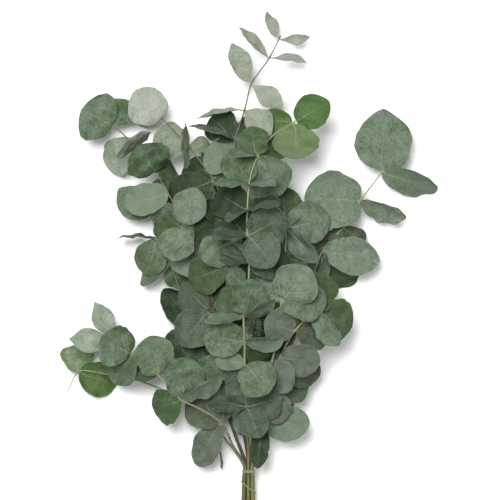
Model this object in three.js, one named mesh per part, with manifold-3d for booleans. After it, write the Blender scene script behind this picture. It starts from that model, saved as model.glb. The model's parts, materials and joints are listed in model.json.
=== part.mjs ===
// A tied bunch of round-leaved eucalyptus, lying on a flat surface.
//
// Millimetres, +Z up. The surface is z = 0, the leafy tips point to +Y and the cut ends to -Y.
// The origin is the middle of the bunch's footprint. Ten shoots run together through the tie. Each shoot
// is a stem and a row of leaf pairs; the leaves of a pair meet in a collar that goes round the stem.

import * as THREE from 'three';
import { mergeVertices } from 'three/addons/utils/BufferGeometryUtils.js';
import Module from 'manifold-3d';

// ---- Driving dimensions (mm, degrees) ----

const FAN_WIDTH = 1;            // how far the shoots spread sideways, as a factor
const FAN_HEIGHT = 1;           // how far the shoots rise above the surface, as a factor
const LEAF_SIZE = 1;            // all leaf lengths and widths, as a factor

const STEM_RADIUS_CUT = 1.6;    // at the cut end
const STEM_RADIUS_TIP = 0.6;    // under the last leaf pair
const STEM_TAPER = 1.2;         // above 1, a stem keeps its thickness for longer
const STEM_SIDES = 6;
const STEM_STEP = 30;           // the longest straight facet along a stem
const STEM_TIP_LENGTH = 5;      // beyond the last leaf pair
const TAIL_LENGTH = 84;         // from the tie down to the cut ends
const TAIL_FLARE = 1.35;        // how much wider the bundle is at its cut ends than at the tie

const SLOT_GAP = 0.5;           // room between neighbouring stems in the tie
const TIE_HEIGHT = 18;          // height of the bundle's middle at the tie

const BUNDLE_STRAIGHT = 7;      // the stems run straight this far to each side of the tie
const BAND_WIDTH = 3.2;
const BAND_THICKNESS = 0.9;
const BAND_SEGMENTS = 10;       // in each half turn
const THREAD_RADIUS = 0.7;
const THREAD_SIDES = 5;
const THREAD_STEPS = 20;        // facets round the bundle
const THREAD_DROP = 18;         // distance from the band down to the middle of the thread
const THREAD_SLANT = 38;
const TIE_GAP = 0.5;            // room between the tie and the stems in it

const LEAF_THICKNESS = 1.1;     // at the midrib
const PETIOLE_LENGTH = 3;
const PETIOLE_RADIUS = 0.7;
const COLLAR_TUBE = 0.75;
const COLLAR_GAP = 0.35;        // room between a collar and its stem
const COLLAR_SIDES = 6;
const COLLAR_TUBE_SIDES = 4;
const LEAF_CLEARANCE = 0.5;     // room kept on each side of a leaf

// ---- The shoots ----

const degrees = THREE.MathUtils.degToRad;

const PLAIN_LEAF = {
  tilt: 0,                      // rise above the horizontal
  roll: 0,                      // turn about the midrib, 0 = face up
  point: 0.5,                   // 0.5 is a round leaf, 1 a pointed one
  widest: 0.48,                 // how far along it the leaf is widest, 0 to 1
  bend: 14,                     // how much the leaf curves down from stalk to tip
  cup: 0.12,                    // how much its sides curve up
  fold: 0,                      // how much each side turns up from the midrib
  twist: 0,                     // from stalk to tip
  foot: false,                  // true where the leaf rests on the surface
};

// heading: direction in plan, 0 = +X, 90 = +Y.
function leaf(heading, length, width, options = {}) {
  return { ...PLAIN_LEAF, heading, length, width, ...options };
}

// A point that the stem passes through, with the leaves that grow there.
function node(x, y, z, ...leaves) {
  return { x, y, z, leaves };
}

const shoots = {
  top: {
    slot: { ring: 'inner', angle: 0 },
    tail: 1.0,
    girth: 1,
    nodes: [
      node(-4, 38, 21),
      node(-10, 80, 32),
      node(-18, 125, 43),
      node(-22, 170, 51),
      node(-23, 227, 56, leaf(125, 38, 34), leaf(70, 38, 36, { tilt: 35, fold: 18 }),
        leaf(200, 44, 42, { tilt: -15 }), leaf(-20, 44, 44, { tilt: -25 })),
      node(-18, 270, 58, leaf(130, 46, 32, { roll: 25, point: 0.8 }), leaf(105, 44, 38, { tilt: -15 }),
        leaf(15, 40, 40, { tilt: -20 }), leaf(185, 44, 42, { tilt: -12 })),
      node(-17, 306, 57),
      node(-16, 338, 54),
      node(-14, 368, 50, leaf(158, 50, 28, { tilt: 10, roll: 75, point: 0.6 }),
        leaf(135, 38, 38, { tilt: -20 }),
        leaf(25, 36, 38, { tilt: -15 })),
      node(-4, 400, 45, leaf(185, 50, 24, { roll: 75, point: 0.8 }),
        leaf(-45, 38, 32, { tilt: 15, point: 0.7, fold: 15 })),
      node(3, 428, 39, leaf(112, 48, 26, { tilt: 5, roll: 10, point: 0.85 }),
        leaf(-33, 38, 25, { point: 0.95 })),
      node(23, 458, 31, leaf(130, 44, 18, { tilt: 15, roll: 45, point: 0.9 }),
        leaf(10, 42, 15, { roll: -45, point: 1, bend: 40 })),
      node(34, 480, 23, leaf(108, 38, 14, { roll: 15, point: 0.9, foot: true }),
        leaf(0, 32, 14, { roll: 30, point: 0.8 })),
    ],
  },
  centre: {
    slot: { ring: 'outer', angle: 90 },
    tail: 0.95,
    girth: 1,
    nodes: [
      node(0, 37, 28),
      node(-2, 74, 43, leaf(170, 38, 28, { roll: 45 }), leaf(15, 36, 38, { tilt: -10 }),
        leaf(-66, 34, 34, { tilt: -16 }), leaf(95, 42, 42, { tilt: -28 })),
      node(-3, 98, 54),
      node(-4, 122, 62, leaf(-52, 38, 44, { tilt: 12 }), leaf(165, 28, 26, { tilt: -18, roll: 20 }),
        leaf(192, 54, 34, { tilt: -24 })),
      node(-4, 146, 69, leaf(170, 40, 42), leaf(5, 40, 34, { tilt: 10, roll: 50, fold: 22 }),
        leaf(-80, 44, 44, { tilt: -30 })),
      node(-5, 173, 74, leaf(180, 38, 28, { tilt: 8, roll: 65 }), leaf(25, 36, 26, { tilt: 18, roll: 60 }),
        leaf(75, 40, 44, { tilt: -14 }), leaf(128, 38, 38, { tilt: -36 })),
      node(0, 205, 77),
      node(1, 234, 78, leaf(157, 30, 30, { tilt: 18, roll: 60 }), leaf(0, 40, 44, { tilt: -15 }),
        leaf(60, 44, 44, { tilt: -30 }), leaf(222, 42, 40, { tilt: -46 })),
      node(-1, 262, 78, leaf(176, 36, 32, { tilt: 22, roll: 65 }), leaf(28, 42, 46, { tilt: -8 }),
        leaf(130, 46, 44, { tilt: -22 }), leaf(-50, 42, 42, { tilt: -34 })),
      node(-1, 290, 77, leaf(205, 28, 26, { tilt: 40, roll: 75 }),
        leaf(15, 34, 26, { tilt: 26, roll: -75 }),
        leaf(150, 44, 42, { tilt: -28 }), leaf(-15, 44, 44, { tilt: -28 })),
      node(1, 318, 74, leaf(175, 36, 28, { tilt: 24, roll: 70 }), leaf(5, 30, 26, { tilt: 36, roll: -72 }),
        leaf(115, 44, 42, { tilt: -28 })),
      node(10, 348, 69, leaf(102, 30, 34, { tilt: -8 }), leaf(-60, 46, 50, { tilt: -8 }),
        leaf(175, 24, 22, { tilt: 28, roll: 75 }), leaf(40, 40, 38, { tilt: -30 })),
      node(28, 372, 62),
      node(50, 386, 55, leaf(30, 42, 38, { tilt: 14 }), leaf(-86, 36, 54, { tilt: -2 }),
        leaf(176, 34, 28, { tilt: -10 })),
    ],
  },
  centre_right: {
    slot: { ring: 'outer', angle: 45 },
    tail: 1.06,
    girth: 1,
    nodes: [
      node(9, 37, 25),
      node(15, 76, 37),
      node(24, 114, 51),
      node(32, 153, 63),
      node(36, 191, 70, leaf(50, 44, 48, { tilt: 15 }), leaf(147, 34, 34, { tilt: 8, point: 0.65 }),
        leaf(-100, 44, 46, { tilt: -25 }), leaf(0, 46, 46, { tilt: -18 })),
      node(40, 231, 64),
      node(42, 270, 53, leaf(95, 50, 40, { tilt: -8 }), leaf(-83, 46, 38, { tilt: -8 }),
        leaf(-55, 48, 30, { roll: 45 }), leaf(15, 46, 46, { tilt: -10 }), leaf(165, 44, 44, { tilt: -18 })),
    ],
  },
  lower_right: {
    slot: { ring: 'outer', angle: 0 },
    tail: 0.98,
    girth: 1,
    nodes: [
      node(12, 33, 19),
      node(15, 54, 25, leaf(3, 50, 40, { tilt: 20 }), leaf(180, 28, 32, { tilt: 30 }),
        leaf(-95, 48, 22, { tilt: -18 }), leaf(60, 44, 42, { tilt: -6 })),
      node(22, 92, 38, leaf(10, 42, 42), leaf(142, 30, 32, { tilt: -30 }), leaf(-72, 36, 36, { tilt: -18 }),
        leaf(75, 42, 42, { tilt: -15 })),
      node(35, 128, 50, leaf(-5, 40, 38, { tilt: 10, roll: 15 }), leaf(-30, 50, 40, { tilt: -15 }),
        leaf(100, 44, 44, { tilt: -18 }), leaf(200, 44, 42, { tilt: -24 })),
      node(51, 157, 58, leaf(-6, 36, 38, { tilt: 10 }), leaf(160, 34, 40, { tilt: -12 }),
        leaf(60, 44, 44, { tilt: -24 })),
      node(72, 179, 61, leaf(-25, 44, 50, { tilt: -8 }), leaf(-57, 42, 28, { roll: 40 }),
        leaf(75, 44, 44, { tilt: -16 })),
    ],
  },
  right: {
    slot: { ring: 'outer', angle: -45 },
    tail: 1.08,
    girth: 1.05,
    nodes: [
      node(13, 33, 13),
      node(33, 98, 13),
      node(55, 158, 17),
      node(70, 208, 21),
      node(83, 246, 24, leaf(-11, 60, 42, { tilt: 8 }), leaf(-102, 50, 32, { tilt: 8, roll: 40 }),
        leaf(-50, 54, 42, { foot: true }), leaf(110, 44, 42, { tilt: -4 })),
      node(105, 271, 27, leaf(165, 46, 46, { tilt: -6 }), leaf(-35, 28, 22, { tilt: -14 })),
      node(124, 300, 28, leaf(178, 58, 66, { tilt: 10 }), leaf(-24, 50, 34, { roll: 50 })),
      node(149, 333, 25, leaf(88, 66, 64, { tilt: 3, point: 0.6, widest: 0.42 }),
        leaf(-19, 64, 34, { roll: 20, twist: 35, point: 0.45, foot: true })),
    ],
  },
  inner_left: {
    slot: { ring: 'outer', angle: -90 },
    tail: 0.96,
    girth: 0.95,
    nodes: [
      node(-5, 40, 11),
      node(-11, 85, 14),
      node(-15, 138, 18),
      node(-15, 191, 23),
      node(-16, 246, 30),
      node(-24, 288, 36),
      node(-38, 323, 41, leaf(202, 54, 44, { roll: 15 }), leaf(-60, 42, 30, { tilt: 15, roll: 75 }),
        leaf(157, 40, 40, { tilt: -25 }), leaf(65, 42, 40, { tilt: -12 })),
      node(-49, 339, 42, leaf(50, 30, 32, { tilt: -35 }), leaf(28, 44, 40, { tilt: 5, roll: -10 })),
      node(-65, 359, 40, leaf(160, 42, 42, { tilt: -12 }), leaf(162, 32, 52, { tilt: 80, bend: 4 }),
        leaf(10, 20, 20, { tilt: -20 })),
      node(-94, 390, 33, leaf(138, 42, 46, { tilt: 5 }), leaf(150, 42, 34, { foot: true })),
    ],
  },
  upper_left: {
    slot: { ring: 'inner', angle: 180 },
    tail: 1.03,
    girth: 0.95,
    nodes: [
      node(-13, 37, 20),
      node(-24, 81, 26),
      node(-33, 134, 32),
      node(-42, 179, 38, leaf(136, 40, 38, { tilt: -5 }), leaf(65, 44, 34, { tilt: 8, roll: -30 }),
        leaf(-130, 46, 44, { tilt: -15 }), leaf(0, 44, 42, { tilt: -18 })),
      node(-47, 210, 41),
      node(-58, 242, 43),
      node(-71, 273, 43, leaf(-108, 38, 42, { tilt: 18, roll: -10 }), leaf(25, 34, 34, { tilt: -20 }),
        leaf(190, 32, 32, { tilt: -10 }), leaf(75, 40, 38, { tilt: -10 })),
      node(-88, 308, 41, leaf(193, 46, 38, { tilt: 5 }), leaf(143, 26, 24, { tilt: -32 })),
      node(-101, 330, 38, leaf(25, 32, 36, { tilt: -42 }), leaf(124, 40, 52, { tilt: 42 })),
      node(-123, 359, 33, leaf(200, 48, 42, { foot: true }), leaf(128, 34, 46, { tilt: 78, bend: 4 })),
      node(-148, 383, 27, leaf(152, 38, 54, { tilt: 10, roll: 5 }),
        leaf(66, 30, 42, { tilt: -8, point: 0.65 })),
    ],
  },
  left: {
    slot: { ring: 'outer', angle: -135 },
    tail: 1.1,
    girth: 0.95,
    nodes: [
      node(-14, 36, 9),
      node(-29, 78, 11),
      node(-47, 120, 16),
      node(-60, 157, 21, leaf(123, 56, 38, { tilt: -2, roll: 20 }), leaf(-138, 38, 34, { tilt: -10 }),
        leaf(-68, 38, 42, { tilt: 10 }), leaf(30, 48, 46, { tilt: 2 })),
      node(-74, 196, 25),
      node(-87, 232, 29, leaf(60, 32, 30, { tilt: 16, roll: 20 }), leaf(-6, 46, 30, { tilt: 16 }),
        leaf(213, 38, 28, { tilt: -10, roll: 45 }), leaf(-62, 30, 30, { tilt: -12 })),
      node(-99, 259, 30, leaf(172, 44, 22, { tilt: -8, roll: 80 }),
        leaf(-108, 40, 38, { tilt: -6, roll: 10 })),
      node(-107, 282, 30, leaf(138, 48, 36, { tilt: -8, point: 0.6 }),
        leaf(10, 28, 28, { tilt: 25, roll: 30 })),
    ],
  },
  low_twig: {
    slot: { ring: 'outer', angle: 180 },
    tail: 0.9,
    girth: 0.8,
    nodes: [
      node(-20, 28, 13),
      node(-37, 48, 13),
      node(-64, 73, 15),
      node(-97, 91, 16),
      node(-124, 101, 16),
      node(-157, 107, 15),
      node(-190, 110, 12, leaf(92, 28, 38, { foot: true }), leaf(-18, 42, 40, { tilt: 8 })),
      node(-200, 92, 8),
    ],
  },
  lower_left: {
    slot: { ring: 'outer', angle: 135 },
    tail: 1.01,
    girth: 0.95,
    nodes: [
      node(-17, 29, 25),
      node(-30, 55, 33, leaf(-119, 52, 34, { tilt: -5, roll: 20, point: 0.45 }),
        leaf(150, 42, 40, { tilt: -18 }),
        leaf(-92, 52, 10, { tilt: -8, roll: 60, twist: 50 }), leaf(90, 46, 44, { tilt: -6 })),
      node(-52, 70, 40),
      node(-74, 81, 46, leaf(84, 44, 46, { tilt: 14 }), leaf(200, 32, 42, { tilt: -16 }),
        leaf(22, 48, 28, { tilt: 14, roll: 55 })),
      node(-98, 107, 48, leaf(104, 42, 46, { tilt: 5 }), leaf(168, 34, 24, { tilt: -20, roll: 30 })),
      node(-128, 131, 44, leaf(150, 36, 48, { tilt: 16 }), leaf(-128, 38, 38, { tilt: -22 })),
      node(-149, 145, 38, leaf(115, 46, 26, { roll: 15, point: 1 }),
        leaf(176, 46, 28, { tilt: 5, point: 0.85 })),
    ],
  },
};

// ---- Solids ----

const wasm = await Module();
wasm.setup();

const UP = new THREE.Vector3(0, 0, 1);

function closedGeometry(geometry) {
  geometry.deleteAttribute('normal');
  geometry.deleteAttribute('uv');
  return mergeVertices(geometry);
}

function toSolid(geometry) {
  return new wasm.Manifold(new wasm.Mesh({
    numProp: 3,
    vertProperties: new Float32Array(geometry.attributes.position.array),
    triVerts: new Uint32Array(geometry.index.array),
  }));
}

function toGeometry(solid) {
  const mesh = solid.getMesh();
  const geometry = new THREE.BufferGeometry();
  geometry.setAttribute('position', new THREE.BufferAttribute(mesh.vertProperties, 3));
  geometry.setIndex(new THREE.BufferAttribute(mesh.triVerts, 1));
  geometry.computeVertexNormals();
  return geometry;
}

function moveVertices(geometry, place) {
  const position = geometry.attributes.position;
  const vertex = new THREE.Vector3();
  for (let index = 0; index < position.count; index += 1) {
    place(vertex.fromBufferAttribute(position, index));
    position.setXYZ(index, vertex.x, vertex.y, vertex.z);
  }
  return geometry;
}

// ---- Stems ----

// Two stems lie in the middle of the bundle and eight round them, at least one pitch from each other.
const SLOT_PITCH = 2 * STEM_RADIUS_CUT + SLOT_GAP;
const INNER_SLOT_RADIUS = SLOT_PITCH / 2;
const OUTER_SLOT_RADIUS = INNER_SLOT_RADIUS + SLOT_PITCH;
const TAIL_MIDDLE_HEIGHT = OUTER_SLOT_RADIUS * TAIL_FLARE + STEM_RADIUS_CUT;

// The middle of the bundle slopes down from the tie to the cut ends, which lie on the surface.
function bundleHeight(y) {
  const down = Math.max(0, -y / TAIL_LENGTH);
  return THREE.MathUtils.lerp(TIE_HEIGHT, TAIL_MIDDLE_HEIGHT, down);
}

function bundlePoint(slot, y) {
  const down = Math.max(0, -y / TAIL_LENGTH);
  const radius = (slot.ring === 'outer' ? OUTER_SLOT_RADIUS : INNER_SLOT_RADIUS)
    * THREE.MathUtils.lerp(1, TAIL_FLARE, down);
  const angle = degrees(slot.angle);
  return new THREE.Vector3(radius * Math.cos(angle), y, bundleHeight(y) + radius * Math.sin(angle));
}

function nodePoint(place) {
  return new THREE.Vector3(
    place.x * FAN_WIDTH,
    place.y,
    TIE_HEIGHT + (place.z - TIE_HEIGHT) * (place.z > TIE_HEIGHT ? FAN_HEIGHT : 1),
  );
}

// A stem's rings from the cut end to the tip. Each node has a ring of its own, so collars sit true.
function stemCourse(shoot) {
  const nodes = shoot.nodes.map(nodePoint);
  const last = nodes.at(-1);
  const tip = last.clone().sub(nodes.at(-2)).setLength(STEM_TIP_LENGTH).add(last);
  const points = [
    bundlePoint(shoot.slot, -TAIL_LENGTH * shoot.tail),
    bundlePoint(shoot.slot, -TAIL_LENGTH / 2),
    bundlePoint(shoot.slot, -BUNDLE_STRAIGHT),
    bundlePoint(shoot.slot, BUNDLE_STRAIGHT),
    ...nodes,
    tip,
  ];
  const curve = new THREE.CatmullRomCurve3(points, false, 'centripetal');
  const spans = points.length - 1;
  const radiusAt = (t) => THREE.MathUtils.lerp(STEM_RADIUS_CUT, STEM_RADIUS_TIP, t ** STEM_TAPER);
  const ringAt = (t) => ({
    point: curve.getPoint(t),
    tangent: curve.getTangent(t),
    radius: shoot.girth * radiusAt(t),
  });
  const rings = [];
  for (let span = 0; span < spans; span += 1) {
    const steps = Math.ceil(points[span].distanceTo(points[span + 1]) / STEM_STEP);
    for (let step = 0; step < steps; step += 1) {
      rings.push(ringAt((span + step / steps) / spans));
    }
  }
  rings.push(ringAt(1));
  const firstNode = points.indexOf(nodes[0]);
  return { rings, atNode: (index) => ringAt((firstNode + index) / spans) };
}

function stemGeometry(rings) {
  const side = new THREE.Vector3(1, 0, 0);
  const sides = rings.map((ring) => {
    side.addScaledVector(ring.tangent, -side.dot(ring.tangent)).normalize();
    return side.clone();
  });
  const steps = rings.length - 1;
  const cylinder = closedGeometry(new THREE.CylinderGeometry(1, 1, steps, STEM_SIDES, steps));
  return moveVertices(cylinder, (vertex) => {
    const index = Math.round(vertex.y + steps / 2);
    const ring = rings[index];
    const other = new THREE.Vector3().crossVectors(sides[index], ring.tangent);
    const { x, z } = vertex;
    vertex.copy(ring.point)
      .addScaledVector(sides[index], x * ring.radius)
      .addScaledVector(other, z * ring.radius);
  });
}

// ---- Leaves ----

const LEAF_ROUND = 6;           // points round a leaf's section: two rims, two above and two below
const LEAF_ROWS = 6;            // the stalk's end, four rows across the blade, and the tip
const BLADE_ROWS = LEAF_ROWS - 1;

function bladeWidth(shape, t) {
  const skew = Math.log(0.5) / Math.log(shape.widest);
  return Math.sin(Math.PI * t ** skew) ** shape.point;
}

// A lens-shaped blade on a short stalk, along +X with its upper face to +Z. The guard is the same
// blade without the stalk, thicker and wider by the clearance.
function leafGeometry(shape, asGuard) {
  const margin = asGuard ? LEAF_CLEARANCE : 0;
  const length = shape.length * LEAF_SIZE;
  const halfWidth = shape.width * LEAF_SIZE / 2;
  const bend = degrees(shape.bend);
  const fold = degrees(shape.fold);
  const sphere = closedGeometry(new THREE.SphereGeometry(1, LEAF_ROUND, LEAF_ROWS));
  return moveVertices(sphere, (vertex) => {
    const fromPole = Math.acos(THREE.MathUtils.clamp(vertex.y, -1, 1));
    const row = Math.round(fromPole / (Math.PI / LEAF_ROWS));
    const isPole = row === 0 || row === LEAF_ROWS;
    const round = Math.atan2(vertex.z, vertex.x);
    const across = isPole ? 0 : Math.cos(round);
    const through = isPole ? 0 : Math.sin(round);
    const t = Math.max(0, (1 - Math.cos(Math.PI * (row - 1) / BLADE_ROWS)) / 2);
    const stalkRow = row <= 1;
    const rowHalfWidth = stalkRow ? PETIOLE_RADIUS : halfWidth * bladeWidth(shape, t);
    const rowHalfThickness = stalkRow ? PETIOLE_RADIUS : LEAF_THICKNESS / 2;
    const turn = bend * t;
    const forward = row === 0 ? (asGuard ? -margin : -PETIOLE_LENGTH) : length * Math.sin(turn) / bend;
    const drop = row === 0 ? 0 : length * (1 - Math.cos(turn)) / bend;
    const reach = (rowHalfWidth + margin) * across;
    const cup = shape.cup * (rowHalfWidth * across) ** 2 / halfWidth;
    const sideways = reach * Math.cos(fold);
    const lift = cup + Math.abs(reach) * Math.sin(fold) + (rowHalfThickness + margin) * through;
    const twist = degrees(shape.twist) * t;
    vertex.set(
      forward + (row === LEAF_ROWS ? margin : 0),
      sideways * Math.cos(twist) - lift * Math.sin(twist),
      sideways * Math.sin(twist) + lift * Math.cos(twist) - drop,
    );
  });
}

// A stalk leaves its collar a little above the middle of the stem, or below it where the leaf droops.
const STALK_LIFT = 0.6;
const LEVEL = -0.05;

function leafDirection(pose) {
  const heading = degrees(pose.heading);
  const tilt = degrees(pose.tilt);
  return new THREE.Vector3(
    Math.cos(tilt) * Math.cos(heading),
    Math.cos(tilt) * Math.sin(heading),
    Math.sin(tilt),
  );
}

// Where the leaf sits: its stalk starts in the collar, on the side of the stem that it grows towards.
function leafMatrix(pose, place) {
  const forward = leafDirection(pose);
  const heading = degrees(pose.heading);
  const tilt = degrees(pose.tilt);
  const normal = new THREE.Vector3(
    -Math.sin(tilt) * Math.cos(heading),
    -Math.sin(tilt) * Math.sin(heading),
    Math.cos(tilt),
  );
  normal.applyAxisAngle(forward, degrees(pose.roll));
  const side = new THREE.Vector3().crossVectors(normal, forward);
  const outward = forward.clone().addScaledVector(UP, forward.z < LEVEL ? -STALK_LIFT : STALK_LIFT);
  outward.addScaledVector(place.tangent, -outward.dot(place.tangent)).normalize();
  const base = place.point.clone()
    .addScaledVector(outward, place.collarRadius)
    .addScaledVector(forward, PETIOLE_LENGTH);
  return new THREE.Matrix4().makeBasis(forward, side, normal).setPosition(base);
}

function collarGeometry(place) {
  const ring = closedGeometry(new THREE.TorusGeometry(
    place.collarRadius,
    COLLAR_TUBE,
    COLLAR_TUBE_SIDES,
    COLLAR_SIDES,
  ));
  const turn = new THREE.Quaternion().setFromUnitVectors(UP, place.tangent);
  return ring.applyQuaternion(turn).translate(place.point.x, place.point.y, place.point.z);
}

// ---- Finding a free pose for every leaf ----

// Everything that a new leaf keeps clear of. A blade may touch the collar that it grows from, and its
// stalk may also touch the other leaves of that collar.
const obstacles = [];

function addObstacle(geometry, kind, place = null) {
  geometry.computeBoundingBox();
  obstacles.push({ solid: toSolid(geometry), box: geometry.boundingBox.clone(), kind, place });
}

function isFree(geometry, relevant) {
  geometry.computeBoundingBox();
  const box = geometry.boundingBox;
  const near = obstacles.filter((other) => relevant(other) && other.box.intersectsBox(box));
  if (near.length === 0) {
    return true;
  }
  const solid = toSolid(geometry);
  const clear = near.every((other) => {
    const shared = solid.intersect(other.solid);
    const empty = shared.isEmpty();
    shared.delete();
    return empty;
  });
  solid.delete();
  return clear;
}

// Changes to a leaf's pose. A leaf that rests on the surface has only one tilt, so it may turn further.
const SIZES = [1, 0.92, 0.84, 0.72, 0.6, 0.5];
const TILTS = [6, 12, 18, 25, 33, 42, 55];
const ROLLS = [10, 20, 32, 46, 60];
const TURNS = [6, 12, 20, 30];
const RESTING_TURNS = [...TURNS, 45, 65, 90, 120, 150, 180];

function bothWays(angles) {
  return [0, ...angles.flatMap((angle) => [angle, -angle])];
}

function poseChanges(tilts, turns) {
  return SIZES.flatMap((size) => bothWays(tilts).flatMap((tilt) => bothWays(ROLLS).flatMap(
    (roll) => bothWays(turns).map((turn) => ({ size, tilt, roll, turn })),
  )));
}

const CHANGES = poseChanges(TILTS, TURNS);
const RESTING_CHANGES = poseChanges([], RESTING_TURNS);

// How much a change shows from above: a smaller, wider or narrower outline first, then a turn in plan.
const SIZE_COST = 40;
const OUTLINE_COST = 24;
const TURN_COST = 0.25;         // per degree
const ANGLE_COST = 0.025;       // per degree of tilt or roll, besides what it does to the outline

function outlineChange(angle, by) {
  return Math.abs(Math.cos(degrees(angle + by)) - Math.cos(degrees(angle)));
}

function changeCost(wanted, change) {
  return SIZE_COST * (1 - change.size)
    + OUTLINE_COST * (outlineChange(wanted.tilt, change.tilt) + outlineChange(wanted.roll, change.roll))
    + TURN_COST * Math.abs(change.turn)
    + ANGLE_COST * (Math.abs(change.tilt) + Math.abs(change.roll));
}

// The changes that a leaf may try, the least noticeable first.
function rankedChanges(wanted) {
  return (wanted.foot ? RESTING_CHANGES : CHANGES)
    .map((change) => ({ ...change, cost: changeCost(wanted, change) }))
    .sort((a, b) => a.cost - b.cost);
}

function placedLeaf(pose, place, asGuard) {
  return leafGeometry(pose, asGuard).applyMatrix4(leafMatrix(pose, place));
}

function lowestPoint(geometry) {
  geometry.computeBoundingBox();
  return geometry.boundingBox.min.z;
}

// The tilt at which the leaf's lowest point just touches the surface.
const STEEPEST_TILT = -85;
const HIGHEST_TILT = 30;
const HALVINGS = 24;

function restingTilt(pose, place) {
  let low = STEEPEST_TILT;
  let high = HIGHEST_TILT;
  for (let step = 0; step < HALVINGS; step += 1) {
    const tilt = (low + high) / 2;
    if (lowestPoint(placedLeaf({ ...pose, tilt }, place, false)) < 0) {
      low = tilt;
    } else {
      high = tilt;
    }
  }
  return high;
}

function freePose(wanted, place) {
  for (const change of rankedChanges(wanted)) {
    const pose = {
      ...wanted,
      length: wanted.length * change.size,
      width: wanted.width * change.size,
      tilt: wanted.tilt + change.tilt,
      roll: wanted.roll + change.roll,
      heading: wanted.heading + change.turn,
    };
    if (wanted.foot) {
      pose.tilt = restingTilt(pose, place);
    }
    const guard = placedLeaf(pose, place, true);
    const clearOfSurface = wanted.foot || lowestPoint(guard) > 0;
    if (clearOfSurface
      && isFree(guard, (other) => other.kind !== 'collar' || other.place !== place)
      && isFree(placedLeaf(pose, place, false), (other) => other.place !== place)) {
      return pose;
    }
  }
  throw new Error(`no free pose for a leaf at ${place.name}`);
}

// ---- Building the bunch ----

const GREEN_BARK = 0xa3a878;
const BROWN_BARK = 0x6b5a40;
const BROWN_SHOOTS = ['top', 'inner_left', 'upper_left', 'left'];
const LEAF_COLOURS = [0x8a9a84, 0x7b8d78, 0x9fae98, 0x6c7d6a, 0xa8b48a];
const RAFFIA_COLOUR = 0xb9c79a;

function dull(color) {
  return new THREE.MeshStandardMaterial({ color, roughness: 0.75 });
}

const bunch = new THREE.Group();
const places = [];

function buildStem(name, course) {
  const geometry = stemGeometry(course.rings);
  addObstacle(geometry, 'stem');
  geometry.computeVertexNormals();
  const stem = new THREE.Mesh(geometry, dull(BROWN_SHOOTS.includes(name) ? BROWN_BARK : GREEN_BARK));
  stem.name = `stem_${name}`;
  return stem;
}

// The places of a shoot's leaves, each with a collar that goes round the stem.
function leafPlaces(name, shoot, course, shootGroup) {
  const leafy = shoot.nodes
    .map((stop, index) => ({ leaves: stop.leaves, index }))
    .filter(({ leaves }) => leaves.length > 0);
  return leafy.map(({ leaves, index }, count) => {
    const place = { ...course.atNode(index), name: `leaves_${name}_${count + 1}`, leaves, shootGroup };
    const flatRadius = place.radius + COLLAR_GAP + COLLAR_TUBE;
    place.collarRadius = flatRadius / Math.cos(Math.PI / COLLAR_SIDES);
    place.collar = collarGeometry(place);
    return place;
  });
}

// The leaves of one place and their collar are one piece.
function buildLeaves(place, index) {
  let solid = toSolid(place.collar);
  for (const wanted of place.leaves) {
    const grown = placedLeaf(freePose(wanted, place), place, false);
    addObstacle(grown, 'leaf', place);
    solid = solid.add(toSolid(grown));
  }
  const geometry = toGeometry(solid).translate(-place.point.x, -place.point.y, -place.point.z);
  const leaves = new THREE.Mesh(geometry, dull(LEAF_COLOURS[index % LEAF_COLOURS.length]));
  leaves.name = place.name;
  leaves.position.copy(place.point);
  return leaves;
}

for (const [name, shoot] of Object.entries(shoots)) {
  const shootGroup = new THREE.Group();
  shootGroup.name = `shoot_${name}`;
  const course = stemCourse(shoot);
  shootGroup.add(buildStem(name, course));
  places.push(...leafPlaces(name, shoot, course, shootGroup));
  bunch.add(shootGroup);
}
places.forEach((place) => addObstacle(place.collar, 'collar', place));

// The uppermost leaves choose their places first.
places.sort((a, b) => b.point.z - a.point.z);
places.forEach((place, index) => place.shootGroup.add(buildLeaves(place, index)));

// ---- The tie ----

const tieMaterial = dull(RAFFIA_COLOUR);

function bundleRadius(y) {
  const down = Math.max(0, -y / TAIL_LENGTH);
  return OUTER_SLOT_RADIUS * THREE.MathUtils.lerp(1, TAIL_FLARE, down) + STEM_RADIUS_CUT + TIE_GAP;
}

function tieBand() {
  const inner = bundleRadius(-BAND_WIDTH / 2);
  const outline = new THREE.Shape();
  outline.absarc(0, 0, inner + BAND_THICKNESS, 0, 2 * Math.PI);
  const opening = new THREE.Path();
  opening.absarc(0, 0, inner, 0, 2 * Math.PI);
  outline.holes.push(opening);
  const geometry = new THREE.ExtrudeGeometry(outline, {
    depth: BAND_WIDTH,
    bevelEnabled: false,
    curveSegments: BAND_SEGMENTS,
  });
  const band = new THREE.Mesh(geometry, tieMaterial);
  band.name = 'tie_band';
  band.rotation.x = Math.PI / 2;
  band.position.set(0, BAND_WIDTH / 2, TIE_HEIGHT);
  return band;
}

function tieThread() {
  const slant = degrees(THREAD_SLANT);
  const reach = Math.tan(slant) * bundleRadius(0);
  const radius = bundleRadius(-THREAD_DROP - reach) + THREAD_RADIUS;
  const geometry = new THREE.TorusGeometry(radius, THREAD_RADIUS, THREAD_SIDES, THREAD_STEPS);
  geometry.scale(1 / Math.cos(slant), 1, 1);
  const thread = new THREE.Mesh(geometry, tieMaterial);
  thread.name = 'tie_thread';
  thread.rotation.set(Math.PI / 2, 0, -slant, 'ZYX');
  thread.position.set(0, -THREAD_DROP, bundleHeight(-THREAD_DROP));
  return thread;
}

bunch.add(tieBand(), tieThread());

// The origin goes to the middle of the footprint, on the surface.
bunch.updateMatrixWorld(true);
const box = new THREE.Box3().setFromObject(bunch, true);
bunch.position.set(-(box.min.x + box.max.x) / 2, -(box.min.y + box.max.y) / 2, -box.min.z);

const group = new THREE.Group();
group.name = 'eucalyptus_bunch';
group.add(bunch);

export default group;
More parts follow.
